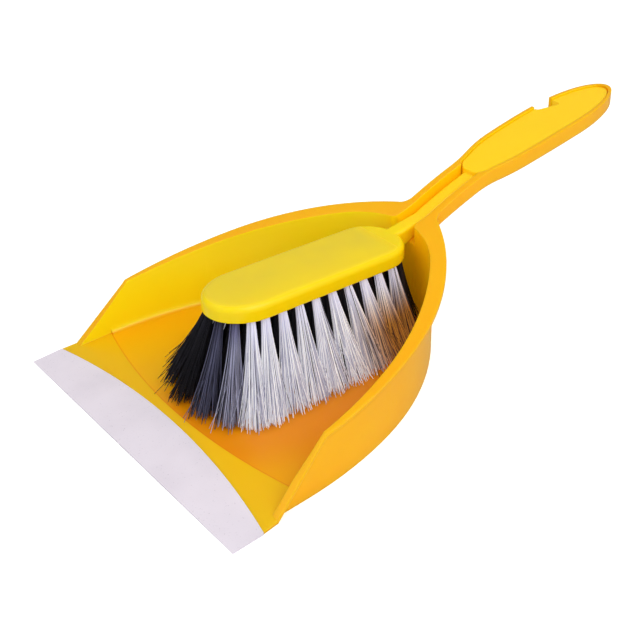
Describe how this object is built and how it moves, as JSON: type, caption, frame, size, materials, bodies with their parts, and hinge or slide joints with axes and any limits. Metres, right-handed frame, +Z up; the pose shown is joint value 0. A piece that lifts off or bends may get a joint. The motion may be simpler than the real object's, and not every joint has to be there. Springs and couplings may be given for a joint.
{
  "type": "hand broom and dustpan set",
  "caption": "Hand broom with a rounded tufted block and a spoon-shaped grip, nested in a leaf-shaped dustpan with a soft lip and an open-topped handle.",
  "frame": {"origin": "on the ground, under the middle of the bounding box", "axes": "+X from the lip to the tip of the handle, +Y to the side with the hanging notch, +Z up"},
  "size_m": [0.385, 0.21, 0.098],
  "materials": {
    "pan_orange": "glossy translucent orange-yellow moulding",
    "lip_white": "soft matt off-white strip",
    "back_yellow": "lemon-yellow moulding with a frosted top",
    "bristle_black": "black filament",
    "bristle_charcoal": "charcoal filament",
    "bristle_slate": "grey-blue filament",
    "bristle_white": "off-white filament"
  },
  "bodies": {
    "dustpan": {"dustpan": "pan_orange", "front_lip": "lip_white"},
    "broom": {"broom_back": "back_yellow", "tuft_inner_far_00": "bristle_black", "tuft_inner_far_01": "bristle_black", "tuft_inner_far_02": "bristle_black", "tuft_inner_far_03": "bristle_black", "tuft_inner_far_04": "bristle_black", "tuft_inner_far_05": "bristle_black", "tuft_inner_far_06": "bristle_black", "tuft_inner_far_07": "bristle_black", "tuft_inner_far_08": "bristle_black", "tuft_inner_far_09": "bristle_black", "tuft_inner_far_10": "bristle_black", "tuft_inner_near_00": "bristle_black", "tuft_inner_near_01": "bristle_black", "tuft_inner_near_02": "bristle_black", "tuft_inner_near_03": "bristle_black", "tuft_inner_near_04": "bristle_black", "tuft_inner_near_05": "bristle_black", "tuft_inner_near_06": "bristle_black", "tuft_inner_near_07": "bristle_black", "tuft_inner_near_08": "bristle_black", "tuft_inner_near_09": "bristle_black", "tuft_inner_near_10": "bristle_black", "tuft_ring_far_01": "bristle_black", "tuft_ring_far_02": "bristle_white", "tuft_ring_far_03": "bristle_white", "tuft_ring_far_04": "bristle_white", "tuft_ring_far_05": "bristle_white", "tuft_ring_far_06": "bristle_white", "tuft_ring_far_07": "bristle_white", "tuft_ring_far_08": "bristle_white", "tuft_ring_far_09": "bristle_white", "tuft_ring_far_10": "bristle_white", "tuft_ring_far_11": "bristle_black", "tuft_ring_far_12": "bristle_black", "tuft_ring_far_13": "bristle_black", "tuft_ring_near_00": "bristle_black", "tuft_ring_near_01": "bristle_black", "tuft_ring_near_02": "bristle_white", "tuft_ring_near_03": "bristle_white", "tuft_ring_near_04": "bristle_white", "tuft_ring_near_05": "bristle_white", "tuft_ring_near_06": "bristle_white", "tuft_ring_near_07": "bristle_white", "tuft_ring_near_08": "bristle_white", "tuft_ring_near_09": "bristle_white", "tuft_ring_near_10": "bristle_white", "tuft_ring_near_11": "bristle_white", "tuft_ring_near_12": "bristle_slate", "tuft_ring_near_13": "bristle_charcoal"}
  },
  "joints": [
    {"name": "broom_lift", "type": "slide", "parent": "dustpan", "child": "broom", "axis": [0, 0, 1], "range_m": [0, 0.12]}
  ]
}
